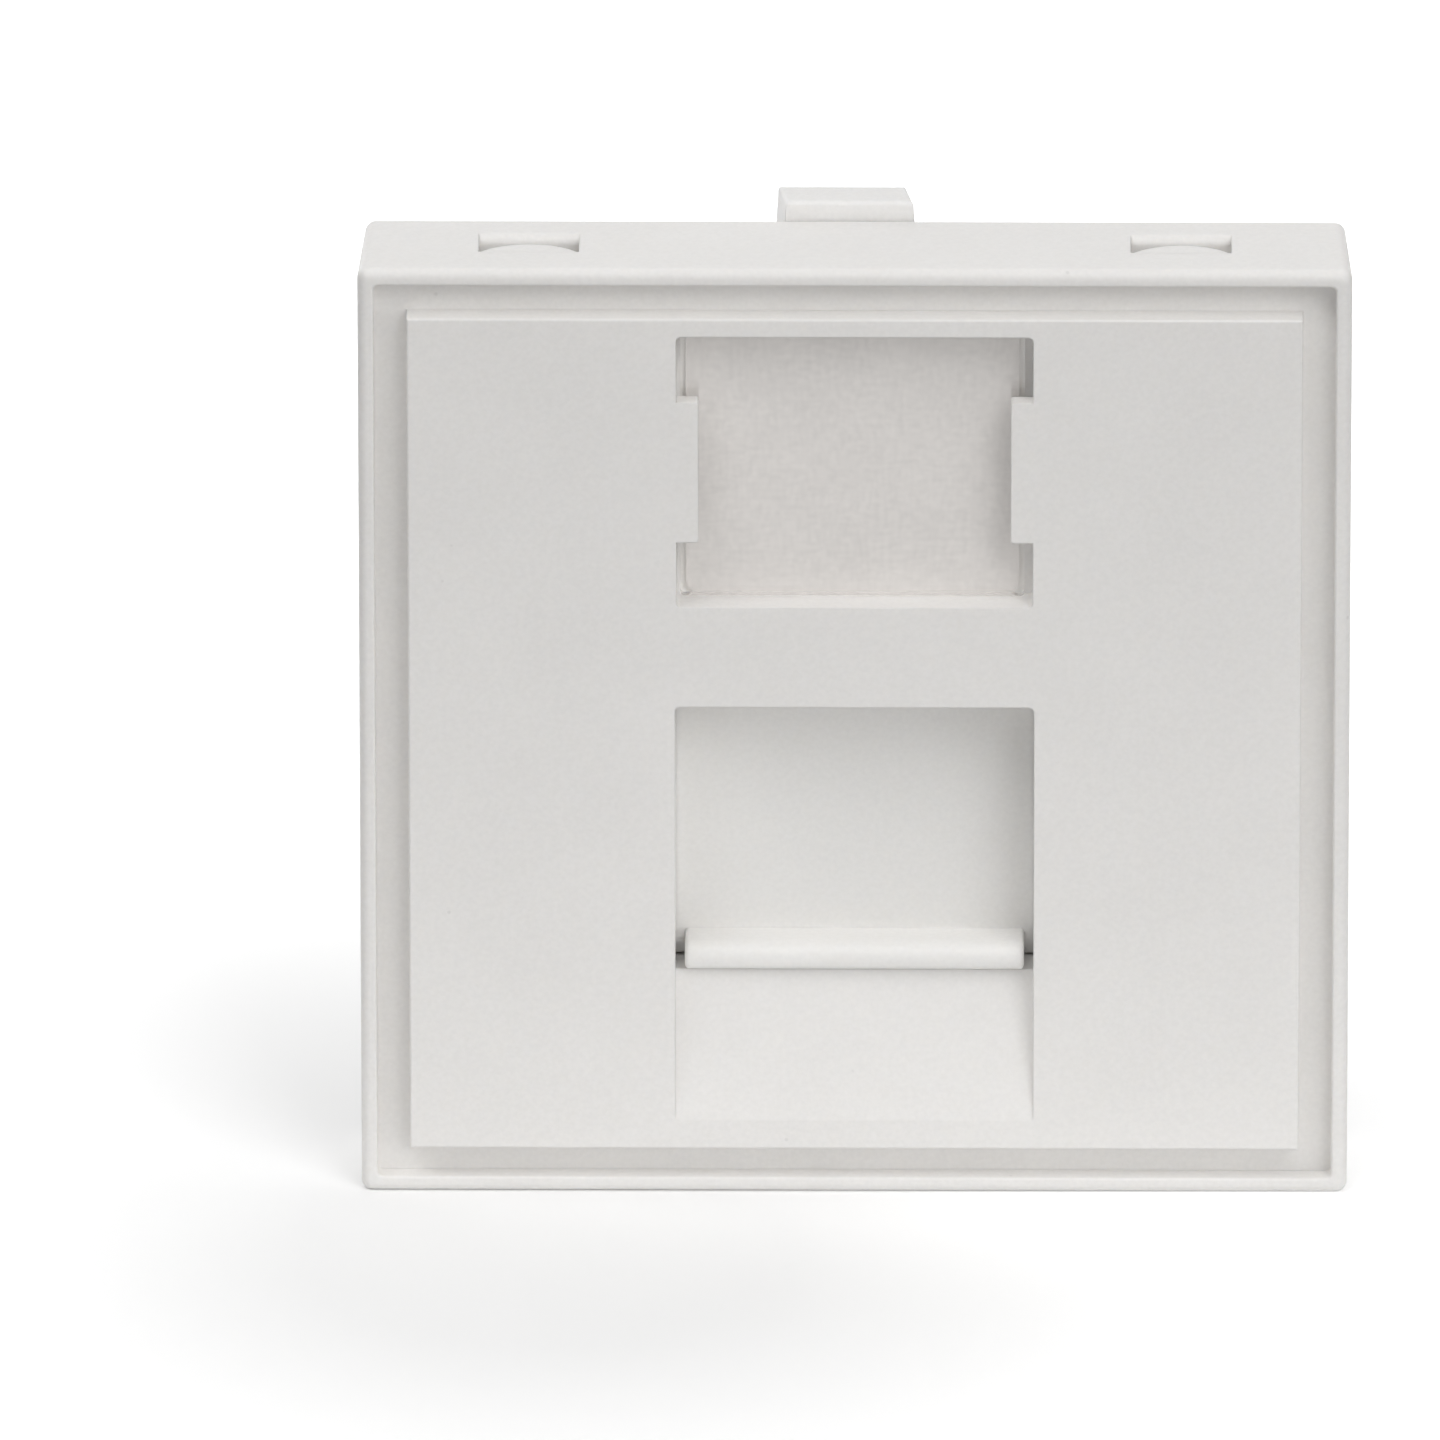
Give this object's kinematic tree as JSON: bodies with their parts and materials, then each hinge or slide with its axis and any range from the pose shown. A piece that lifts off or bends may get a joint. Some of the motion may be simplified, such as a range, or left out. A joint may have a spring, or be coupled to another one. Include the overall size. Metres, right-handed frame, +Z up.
{
  "type": "single-port cover plate",
  "caption": "Square single-port cover plate for a network outlet, with a raised panel, a windowed label recess and a sliding dust shutter over the port.",
  "frame": {"origin": "middle of the footprint on the plane of the plate's lower edge, halfway between the raised panel's face and the back of the jack holder", "axes": "+X to the right seen from the front, +Y from the front towards the back, +Z up"},
  "size_m": [0.045, 0.014, 0.0459],
  "materials": {
    "plate_plastic": "fine satin moulded surface",
    "clear_plastic": "clear, polished",
    "card": "uncoated light grey card",
    "shutter_plastic": "fine satin moulded surface",
    "holder_plastic": "fine satin moulded surface"
  },
  "bodies": {
    "cover": {"front_plate": "plate_plastic", "label_window": "clear_plastic", "label_card": "card", "jack_holder": "holder_plastic"},
    "shutter": {"dust_shutter": "shutter_plastic"}
  },
  "joints": [
    {"name": "shutter_slide", "type": "slide", "parent": "cover", "child": "shutter", "axis": [0, 0, 1], "range_m": [0, 0.0118]}
  ]
}
